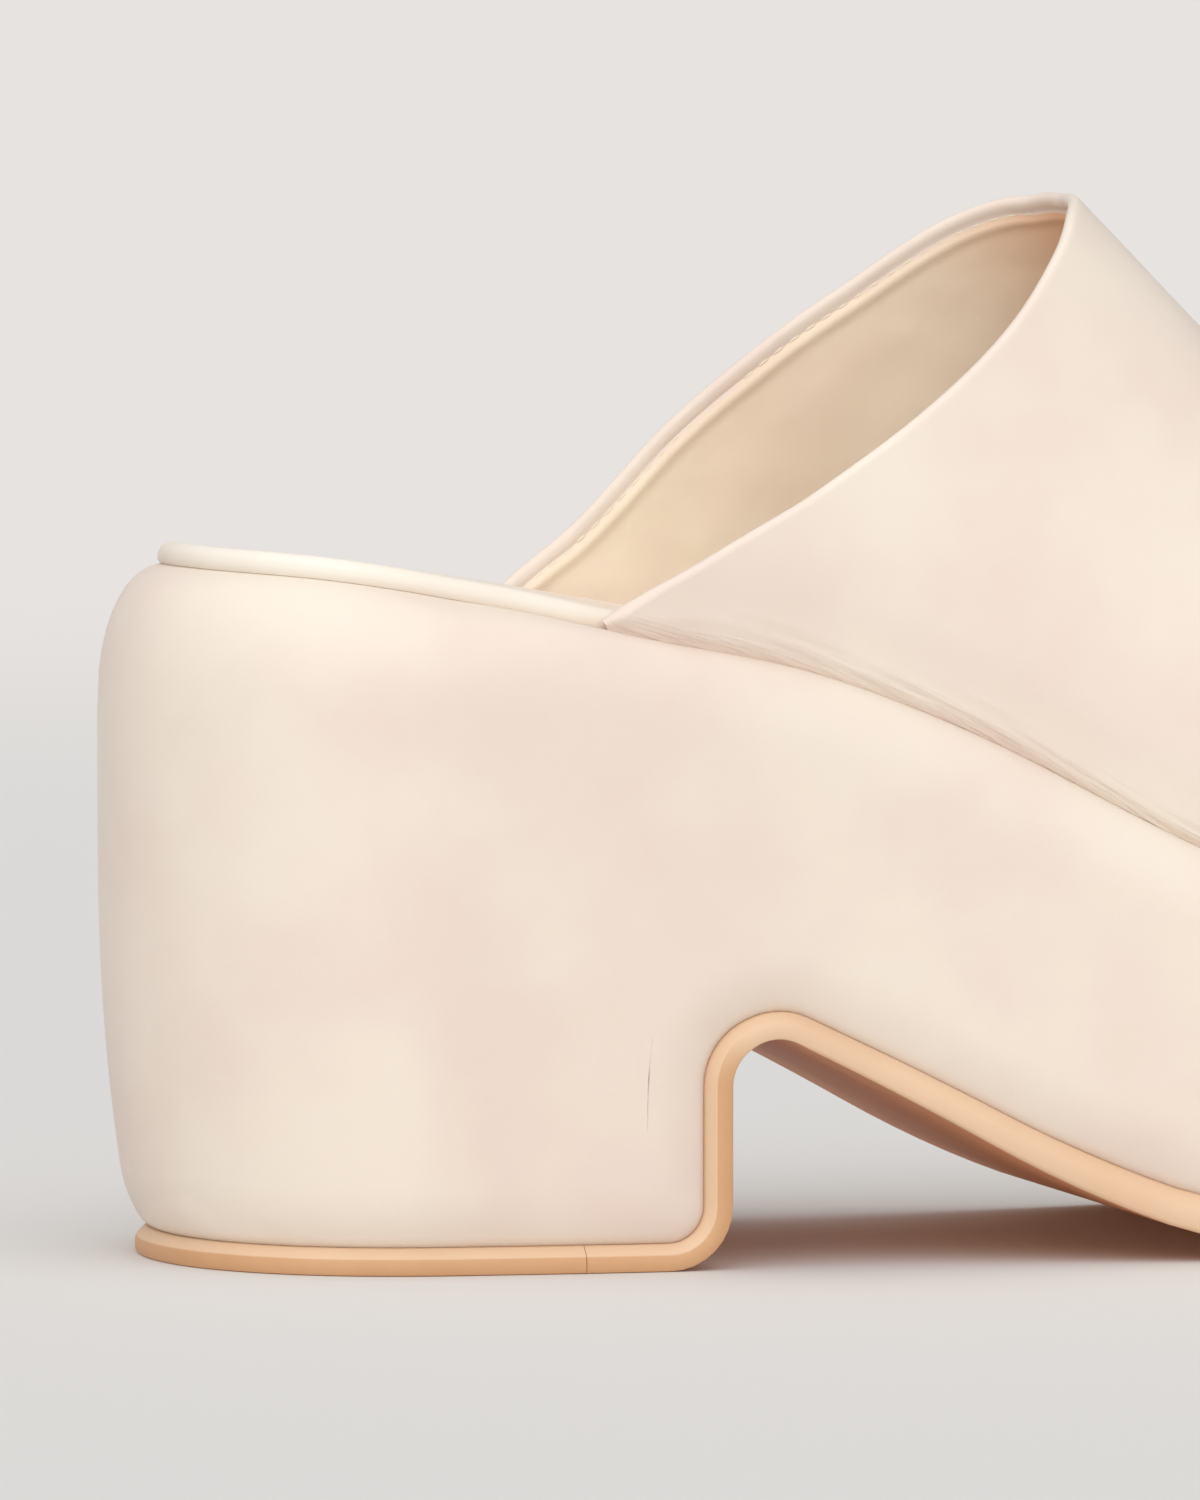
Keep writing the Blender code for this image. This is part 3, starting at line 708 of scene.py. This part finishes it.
FOLD_UNDER = 0.7 * MM
FOLD_REACH = 1.1 * MM


def shoulder_width(x):
    """Width of the platform's rounded top edge: broad round the heel, and up to the crease in front."""
    collar = COLLAR[0][1] * LENGTH
    covered = step(x, collar - 2 * SHOULDER_HEEL, collar)
    return SHOULDER_HEEL + (UPPER_INSET + GAP - SHOULDER_HEEL) * covered


def skin_inset(side, x, z, from_edge):
    """How far the platform's skin stands in from the outline at (x, z)."""
    rim = EDGE_TUCK * max(0.0, 1 - from_edge / EDGE_REACH) ** EDGE_POWER
    rim += FOLD_UNDER * max(0.0, 1 - from_edge / FOLD_REACH) ** 2
    front = step(x, 0.0, COLLAR[0][1] * LENGTH)
    depth = SHOULDER_HEEL_DEPTH + (SHOULDER_FRONT_DEPTH - SHOULDER_HEEL_DEPTH) * front
    up = max(0.0, 1 - max(0.0, top_height(x) - z) / depth)
    rounded = 1 - (1 - up**SHOULDER_POWER) ** (1 / SHOULDER_POWER)
    return rim + heel_taper(side, x, z) + shoulder_width(x) * rounded


def top_points():
    """Where the side line's sections meet the platform's top, as x."""
    tread_from = index_of(SIDE, BALL_X - 25.6 * MM, 14 * MM)
    tread_to = index_of(SIDE, BALL_X + 29.3 * MM, 0.0)
    knots = ((0, 0.0), (HEEL_STEPS, HEEL_ROUND))
    knots += ((index_of(SIDE, BREAST_X - HEEL_CORNER, 0.0), BREAST_X - 0.060 * LENGTH),)
    knots += ((index_of(SIDE, BREAST_X, HEEL_CORNER), BREAST_X - 0.050 * LENGTH),)
    knots += ((index_of(SIDE, BREAST_X, 22.4 * MM), BREAST_X - 0.022 * LENGTH),)
    knots += ((index_of(SIDE, 80.3 * MM, 27.3 * MM), 88 * MM), (tread_from, 112 * MM))
    knots += ((tread_to, SIDE[tread_to][0]), (len(SIDE) - 1, LENGTH))
    lengths = [0.0]
    for (x0, z0), (x1, z1) in zip(SIDE, SIDE[1:]):
        lengths.append(lengths[-1] + math.hypot(x1 - x0, z1 - z0))
    made = []
    for i, (x, _) in enumerate(SIDE):
        for (k0, t0), (k1, t1) in zip(knots, knots[1:]):
            if k0 <= i <= k1:
                share = (lengths[i] - lengths[k0]) / (lengths[k1] - lengths[k0])
                top = t0 + (t1 - t0) * share
        made.append(x if i <= HEEL_STEPS or i >= tread_to else top)
    return made


EDGE_ROWS = (0.0, 0.03, 0.06, 0.10, 0.15, 0.22, 0.32, 0.46, 0.64, 0.82, 1.0)
SHOULDER_ROWS = (1.0, 0.8, 0.62, 0.46, 0.33, 0.22, 0.14, 0.08, 0.035, 0.01, 0.0)
WALL_ROWS = 12


def platform_skin():
    lows = [row * EDGE_REACH for row in EDGE_ROWS]
    lines = [side_points(OUTSOLE_THICKNESS + low - 0.1 * MM) for low in lows]
    points = []
    for i, top_x in enumerate(top_points()):
        low_x, low_z = lines[-1][i]
        rise = top_height(top_x) - low_z
        start = 1 - 0.75 * SHOULDER_HEEL_DEPTH / rise
        shares = [start * k / WALL_ROWS for k in range(1, WALL_ROWS)]
        shares += [1 - (1 - start) * row for row in SHOULDER_ROWS]
        column = [(*line[i], low) for line, low in zip(lines, lows)]
        column += [(low_x + (top_x - low_x) * v, low_z + rise * v, EDGE_REACH) for v in shares]
        sides = [
            [placed(*plan(side, x, skin_inset(side, x, z, d)), z) for x, z, d in column]
            for side in (OUTER, INNER)
        ]
        points += sides[0] + sides[1][::-1]
    columns = len(points) // len(SIDE)
    piece = skin(
        "leather_wrapped_platform", points, grid_faces(len(SIDE), columns, closed=True), [cream_leather],
    )
    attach(piece, "root")
    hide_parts("platform")
    return piece


wrapped_platform = platform_skin()

# %% [markdown]
# ## Insole
# The foot rests on a thin pad of foam in smooth leather, with a soft upper edge and a slight hollow. It has
# no seams, so a rounded skin is enough, and a cloth simulation would only swell it.

# %% Insole
INSOLE_STEPS = 150
INSOLE_ACROSS = (1.0, 0.96, 0.9, 0.8, 0.66, 0.5, 0.33, 0.16, 0.0)
UNDER_EDGE = 0.35 * MM
EDGE_TURNS = 9


def insole_skin():
    points = []
    for k in range(INSOLE_STEPS + 1):
        x = LENGTH * (1 - math.cos(math.pi * k / INSOLE_STEPS)) / 2
        base = top_height(x) + GAP
        ends = end_round(x, HEEL_ROUND, 2) * end_round(LENGTH - x, TOE_ROUND, 2)
        middle = section("swing", x) * BALL_WIDTH
        bank = section("footbed", x) * INSOLE_THICKNESS * ends
        loop = []
        for side in (OUTER, INNER):
            top = base + INSOLE_THICKNESS + bank * (1 + side) / 2
            half_loop = [(*plan(side, x, INSOLE_INSET + UNDER_EDGE), base - UNDER_EDGE)]
            half_loop.append((*plan(side, x, INSOLE_INSET), base + UNDER_EDGE / 2))
            for turn in range(EDGE_TURNS):
                a = math.pi / 2 * turn / (EDGE_TURNS - 1)
                edge = plan(side, x, INSOLE_INSET + INSOLE_EDGE * (1 - math.cos(a)))
                half_loop.append((*edge, top - INSOLE_EDGE + INSOLE_EDGE * math.sin(a)))
            rim_x, rim_y, _ = half_loop[-1]
            for share in INSOLE_ACROSS[1:]:
                dip = INSOLE_DISH * ends * (1 - share**2)
                height = base + INSOLE_THICKNESS + bank * (1 + side * share) / 2 - dip
                half_loop.append((rim_x, middle + (rim_y - middle) * share, height))
            loop += half_loop if side == OUTER else half_loop[-2::-1]
        points += [placed(*point) for point in loop]
    columns = len(points) // (INSOLE_STEPS + 1)
    faces = grid_faces(INSOLE_STEPS + 1, columns, closed=True)
    piece = skin("padded_insole", points, faces, [sock_leather])
    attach(piece, "root")
    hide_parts("insole")
    return piece


padded_insole = insole_skin()

# %% [markdown]
# ## Upper
# The upper is one piece of leather, pulled down over the last. Lines run from the collar to the toe, from
# the outer crease over the ridge of the foot to the inner crease. A second sheet lies one wall further in
# and is the lining. Between them the collar's edge is rolled over to the inside, where a row of stitches
# holds it down. Along the crease, where the leather is pulled under, it gathers in fine pleats.

# %% Upper's lines


def ridge(x):
    """The highest line of the upper, along the middle of the foot."""
    lean = (outward(OUTER, x)[0] + outward(INNER, x)[0]) / 2
    y = section("ridge_in", x) * BALL_WIDTH
    y += (section("swing", x) * BALL_WIDTH - y) * (1 - end_round(LENGTH - x, TOE_BOX_ROUND, 2))
    rise = section("instep", x) * INSTEP_HEIGHT * end_round(LENGTH - x, TOE_BOX_ROUND, TOE_BOX_POWER)
    return x - max(0.0, lean) * UPPER_INSET, y, top_height(x) + GAP + rise


def upper_point(side, x, turn):
    """A point of the upper's outer skin: turn is 0 at the crease and 1 at the ridge."""
    base_x, base_y = plan(side, x, UPPER_INSET)
    ridge_x, ridge_y, ridge_z = ridge(x)
    base_z = top_height(x) + GAP
    full = section("outer_full" if side == OUTER else "inner_full", x)
    angle = turn * math.pi / 2
    up = math.sin(angle) ** (2 / full)
    across = 1 - max(0.0, math.cos(angle)) ** (2 / full)
    height = up * (ridge_z - base_z)
    swell = math.sin(math.pi / 2 * min(height / BULGE_HEIGHT, 1.0))
    swell *= 1 - step(height, BULGE_HEIGHT, BULGE_FADE)
    nx, ny = outward(side, x)
    bulge = UPPER_BULGE * swell * end_round(LENGTH - x, TOE_BOX_ROUND, 2)
    point = placed(
        base_x + (ridge_x - base_x) * across + nx * bulge,
        base_y + (ridge_y - base_y) * across + ny * bulge,
        base_z + height,
    )
    return Vector(point), height


FIRST_TURN, LARGEST_TURN, TURN_GROWTH = 0.0022, 0.024, 1.09


def line_turns():
    """Turns from crease to ridge, close together near the crease where the folds are."""
    made, gap = [0.0], FIRST_TURN
    while made[-1] < 1.0:
        made.append(made[-1] + gap)
        gap = min(gap * TURN_GROWTH, LARGEST_TURN)
    return [turn / made[-1] for turn in made]


turns = line_turns()
LINES = [(OUTER, turn) for turn in turns] + [(INNER, turn) for turn in turns[-2::-1]]


def collar_x(side, turn):
    return smooth(COLLAR, COLLAR_COLUMNS, "outer_x" if side == OUTER else "inner_x", turn) * LENGTH


print(len(LINES), "lines run round the upper")

# %% [markdown]
# How far a point is from the collar's edge decides what is there: the roll, the stitched facing, the bead or
# the lining. A tree of the edge's points answers that quickly for the whole skin. The roll itself takes half
# a wall, so every line begins that much inside the edge.

# %% The collar's edge
EDGE_DENSITY = 12
collar_edge = [upper_point(side, collar_x(side, turn), turn)[0] for side, turn in LINES]
edge_tree = kdtree.KDTree((len(collar_edge) - 1) * EDGE_DENSITY + 1)
for i, (a, b) in enumerate(zip(collar_edge, collar_edge[1:])):
    for k in range(EDGE_DENSITY):
        edge_tree.insert(a.lerp(b, k / EDGE_DENSITY), i * EDGE_DENSITY + k)
edge_tree.insert(collar_edge[-1], (len(collar_edge) - 1) * EDGE_DENSITY)
edge_tree.balance()


def line_start(side, turn):
    """Where a line begins: half a wall from the collar's edge."""
    low = collar_x(side, turn)
    high = low + 12 * MM
    for _ in range(14):
        x = (low + high) / 2
        if edge_tree.find(upper_point(side, x, turn)[0])[2] < WALL / 2:
            low = x
        else:
            high = x
    return high


COLLAR_STEP = 0.35 * MM
COLLAR_STEPS = 22
BODY_STEPS = 150
BODY_CROWDING = 0.92


def upper_grid():
    """The outer skin's points, line by line, with each point's height over the crease and its x."""
    grid, heights, alongs = [], [], []
    for side, turn in LINES:
        start = line_start(side, turn)
        near = start + COLLAR_STEPS * COLLAR_STEP
        stops = [start + COLLAR_STEP * k for k in range(COLLAR_STEPS)]
        for k in range(BODY_STEPS + 1):
            stops.append(near + (LENGTH - near) * math.sin(math.pi / 2 * (k / BODY_STEPS) ** BODY_CROWDING))
        made = [upper_point(side, x, turn) for x in stops]
        grid.append([point for point, _ in made])
        heights.append([height for _, height in made])
        alongs.append(stops)
    return grid, heights, alongs


def grid_normals(grid):
    """Each point's outward direction, from its neighbours."""
    made = []
    last_row, last = len(grid) - 1, len(grid[0]) - 1
    for i, line in enumerate(grid):
        row = []
        for j in range(len(line)):
            across = grid[min(i + 1, last_row)][j] - grid[max(i - 1, 0)][j]
            along = line[min(j + 1, last)] - line[max(j - 1, 0)]
            way = along.cross(across)
            row.append(way.normalized() if way.length > 1e-12 and j < last else Vector((1.0, 0.0, 0.0)))
        made.append(row)
    return made


GRID, HEIGHTS, ALONGS = upper_grid()
NORMALS = grid_normals(GRID)
FROM_COLLAR = [[edge_tree.find(point)[2] for point in line] for line in GRID]
print(len(GRID), "lines of", len(GRID[0]), "points; a normal at the outer side:", NORMALS[10][60])

# %% [markdown]
# Where the leather is pulled under at the crease, it gathers in long low folds that lie almost along it.
# The larger ones are listed one by one, each from one point to another, as a soft trough with a ridge above it.

# %% Folds over the crease
# from x, height to x, height, then depth, all in millimetres
FOLDS = (
    (57.5, 0.7, 68.0, 1.3, 0.34),
    (59.5, 1.5, 73.0, 2.0, 0.30),
    (62.0, 0.5, 71.0, 0.6, 0.36),
    (64.5, 2.7, 80.0, 2.5, 0.22),
    (69.0, 1.2, 78.5, 0.6, 0.34),
    (71.0, 4.0, 90.0, 3.2, 0.16),
    (76.0, 2.0, 87.0, 0.9, 0.30),
    (82.0, 3.0, 96.0, 1.8, 0.20),
    (86.0, 1.4, 94.5, 0.5, 0.34),
    (92.0, 2.3, 103.0, 1.0, 0.26),
    (97.0, 4.0, 112.0, 3.0, 0.12),
    (101.0, 1.5, 110.0, 0.5, 0.30),
    (108.0, 2.2, 119.0, 1.1, 0.20),
    (117.0, 1.3, 128.0, 0.6, 0.22),
    (126.0, 2.0, 141.0, 1.0, 0.14),
    (140.0, 1.2, 156.0, 0.7, 0.14),
    (158.0, 1.9, 176.0, 0.9, 0.14),
    (178.0, 1.2, 196.0, 0.8, 0.12),
)
FOLD_TOP = 6 * MM
TROUGH_WIDTH = 0.34 * MM
RIDGE_WIDTH = 0.50 * MM


def hump(value, middle, width):
    return math.exp(-(((value - middle) / width) ** 2))


def fold_shift(x, height):
    """How far the folds move the outer leather."""
    shift = 0.0
    for x0, h0, x1, h1, depth in FOLDS:
        t = (x / MM - x0) / (x1 - x0)
        if 0 < t < 1:
            middle = (h0 + (h1 - h0) * t) * MM
            trough = hump(height, middle, TROUGH_WIDTH) - 0.55 * hump(height, middle + 0.62 * MM, RIDGE_WIDTH)
            shift -= depth * MM * trough * math.sin(math.pi * t) ** 0.7
    return shift


print(len(FOLDS), "folds on each side")

# %% [markdown]
# Now the upper's two faces. The outer one tucks in at the crease. The inner one has the collar's turned edge,
# a groove where it is stitched down, a soft bead below it, and the lining, which is a little slack and wavy.

# %% Upper's skin
FACING = 2.1 * MM
GROOVE_WIDTH = 0.35 * MM
GROOVE_DEPTH = 0.30 * MM
BEAD_AT = 3.2 * MM
BEAD_WIDTH = 0.8 * MM
BEAD_HEIGHT = 0.45 * MM
LINING_WAVE = 0.45 * MM
PUFF = 0.25 * MM
PUFF_AT = 2.6 * MM
PUFF_WIDTH = 2.4 * MM
TUCK_HEIGHT = 0.9 * MM
TUCK_DEPTH = 0.6 * MM
RIM_STEPS = 8


def outer_shift(x, height):
    """How far the outer leather stands off its smooth shape."""
    shift = PUFF * hump(height, PUFF_AT, PUFF_WIDTH) - TUCK_DEPTH * (1 - step(height, 0.0, TUCK_HEIGHT))
    return shift + (fold_shift(x, height) if height < FOLD_TOP else 0.0)


def inner_shift(point, from_collar):
    """How far the inner face stands into the shoe."""
    shift = BEAD_HEIGHT * hump(from_collar, BEAD_AT, BEAD_WIDTH)
    shift -= GROOVE_DEPTH * hump(from_collar, FACING, GROOVE_WIDTH)
    wave = noise.noise(Vector((point.x / 11, point.y / 11, point.z / 7)) / MM)
    wave += 0.5 * noise.noise(Vector((point.x / 4, point.y / 6, point.z / 3)) / MM)
    return shift + LINING_WAVE * wave * step(from_collar, BEAD_AT, 4 * BEAD_AT)


def rim_ring(i):
    """The rolled edge at one line of the collar, from the outer face over to the inner one."""
    last = len(GRID) - 1
    edge = (GRID[min(i + 1, last)][0] - GRID[max(i - 1, 0)][0]).normalized()
    normal = NORMALS[i][0]
    back = normal.cross(edge).normalized()
    if back.dot(GRID[i][1] - GRID[i][0]) > 0:
        back.negate()
    centre = GRID[i][0] - normal * WALL / 2
    ring = []
    for k in range(1, RIM_STEPS):
        a = math.pi * k / RIM_STEPS
        ring.append(centre + (normal * math.cos(a) + back * math.sin(a)) * WALL / 2)
    return ring


def sunk(point, height):
    """The crease's end of a line goes down to the platform."""
    return point - Vector((0.0, 0.0, (GAP + 0.1 * MM) * (1 - step(height, 0.0, TUCK_HEIGHT))))


def upper_skin():
    """Each line becomes a strip: outer face from the toe to the collar, the roll, and the inner face back."""
    points, finishes, along, height, throat = [], [], [], [], []
    for i, line in enumerate(GRID):
        turn = LINES[i][1]
        count = len(line)
        order = list(range(count - 1, -1, -1))
        for j in order:
            shift = outer_shift(ALONGS[i][j], HEIGHTS[i][j])
            points.append(sunk(line[j] + NORMALS[i][j] * shift, HEIGHTS[i][j]))
        points += rim_ring(i)
        for j in range(count):
            depth = WALL + inner_shift(line[j], FROM_COLLAR[i][j])
            points.append(sunk(line[j] - NORMALS[i][j] * depth, HEIGHTS[i][j]))
        lined = [1 if FROM_COLLAR[i][j] > FACING else 0 for j in range(count)]
        finishes.append([0] * (count + RIM_STEPS - 1) + lined)
        along += [ALONGS[i][j] for j in order] + [ALONGS[i][0]] * (RIM_STEPS - 1) + ALONGS[i]
        height += [HEIGHTS[i][j] for j in order] + [HEIGHTS[i][0]] * (RIM_STEPS - 1) + HEIGHTS[i]
        # throat: how strongly the lining's painted bounce light shows, growing towards the ridge
        throat += [step(turn, 0.45, 1.0)] * (2 * count + RIM_STEPS - 1)
    columns = len(points) // len(GRID)
    faces = grid_faces(len(GRID), columns, closed=True)
    face_finish = [finishes[r][c] for r in range(len(GRID) - 1) for c in range(columns)]
    for loop in (range(columns), range((len(GRID) - 1) * columns, len(GRID) * columns)):
        for k in range(columns // 2):
            faces.append((loop[k], loop[k + 1], loop[-k - 2], loop[-k - 1]))
            face_finish.append(0)
    values = {"along": along, "height": height, "throat": throat}
    piece = skin("leather_upper", points, faces, [lasted_leather, lining_leather], face_finish, values)
    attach(piece, "root")
    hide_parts("upper")
    return piece


leather_upper = upper_skin()

# %% [markdown]
# ## Stitches
# One row of cream thread holds the turned edge down. A stitch is a short soft bead of thread that lies in the
# groove, one every two and a half millimetres. Geometry Nodes follow a curve drawn along the groove: the
# curve is cut into equal steps, a small ball stretched to a stitch is set on each, and turned
# along the curve.

# %% Stitches round the collar
STITCH_PITCH = 2.5 * MM
STITCH_LENGTH = 1.7 * MM
STITCH_WIDTH = 0.42 * MM

thread, tree, shader = finish("cream_polyester_thread_twisted")
place = add(tree, "ShaderNodeTexCoord").outputs["Object"]
twist = add(
    tree, "ShaderNodeTexWave", {"Vector": place, "Scale": 1100.0, "Distortion": 1.0}, bands_direction="DIAGONAL",
)
bump = add(tree, "ShaderNodeBump", {"Height": twist.outputs["Fac"], "Strength": 0.4, "Distance": 0.05 * MM})
tree.links.new(bump.outputs[0], shader.inputs["Normal"])
shader.inputs["Base Color"].default_value = paint("#e3d3bd")
shader.inputs["Roughness"].default_value = 0.6


def groove_path():
    """The groove's line on the inner face, from the outer crease over the ridge to the inner crease."""
    path = []
    for i, line in enumerate(GRID):
        j = next(k for k, distance in enumerate(FROM_COLLAR[i]) if distance >= FACING)
        if min(HEIGHTS[i][j], HEIGHTS[i][0]) > STITCH_PITCH:
            path.append(line[j] - NORMALS[i][j] * (WALL - GROOVE_DEPTH + STITCH_WIDTH / 4))
    return path


def stitch_tree():
    tree = bpy.data.node_groups.new("stitches_along_a_groove", "GeometryNodeTree")
    tree.interface.new_socket("Geometry", in_out="INPUT", socket_type="NodeSocketGeometry")
    ids = {}
    for label in ("Pitch", "Length", "Width"):
        plug = tree.interface.new_socket(label, in_out="INPUT", socket_type="NodeSocketFloat")
        ids[label] = plug.identifier
    tree.interface.new_socket("Geometry", in_out="OUTPUT", socket_type="NodeSocketGeometry")
    given = add(tree, "NodeGroupInput").outputs
    path = add(
        tree, "GeometryNodeResampleCurve", {"Curve": given["Geometry"], "Length": given["Pitch"]}, mode="LENGTH",
    )
    ball = add(tree, "GeometryNodeMeshUVSphere", {"Segments": 8, "Rings": 6, "Radius": 0.5})
    way = add(tree, "GeometryNodeInputTangent")
    turn = add(tree, "FunctionNodeAlignRotationToVector", {"Vector": way.outputs[0]}, axis="Z")
    size = add(tree, "ShaderNodeCombineXYZ", {"X": given["Width"], "Y": given["Width"], "Z": given["Length"]})
    laid = add(
        tree, "GeometryNodeInstanceOnPoints",
        {"Points": path.outputs[0], "Instance": ball.outputs["Mesh"],
         "Rotation": turn.outputs[0], "Scale": size.outputs[0]},
    )
    real = add(tree, "GeometryNodeRealizeInstances", {"Geometry": laid.outputs[0]})
    painted = add(tree, "GeometryNodeSetMaterial", {"Geometry": real.outputs[0], "Material": thread})
    add(tree, "NodeGroupOutput", {"Geometry": painted.outputs[0]})
    return tree, ids


def stitch_row():
    path = groove_path()
    line = bpy.data.curves.new("groove", "CURVE")
    line.dimensions = "3D"
    spline = line.splines.new("POLY")
    spline.points.add(len(path) - 1)
    for spot, point in zip(spline.points, path):
        spot.co = (*point, 1.0)
    carrier = bpy.data.objects.new("groove", line)
    bpy.context.scene.collection.objects.link(carrier)
    modifier = carrier.modifiers.new("stitches", "NODES")
    modifier.node_group, ids = stitch_tree()
    for label, size in (("Pitch", STITCH_PITCH), ("Length", STITCH_LENGTH), ("Width", STITCH_WIDTH)):
        modifier[ids[label]] = size
    ready = carrier.evaluated_get(bpy.context.evaluated_depsgraph_get())
    mesh = bpy.data.meshes.new_from_object(ready)
    bpy.data.objects.remove(carrier)
    mesh.shade_smooth()
    piece = bpy.data.objects.new("collar_stitches", mesh)
    bpy.context.scene.collection.objects.link(piece)
    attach(piece, "root")
    print("stitches:", len(mesh.polygons) // 48)
    return piece


collar_stitches = stitch_row()

# %% [markdown]
# ## Last steps
# The pieces are put in the front softbox's light.

# %% Light linking
for piece in (outsole, heel_piece, wrapped_platform, padded_insole, leather_upper, collar_stitches):
    shoe_lit.objects.link(piece)
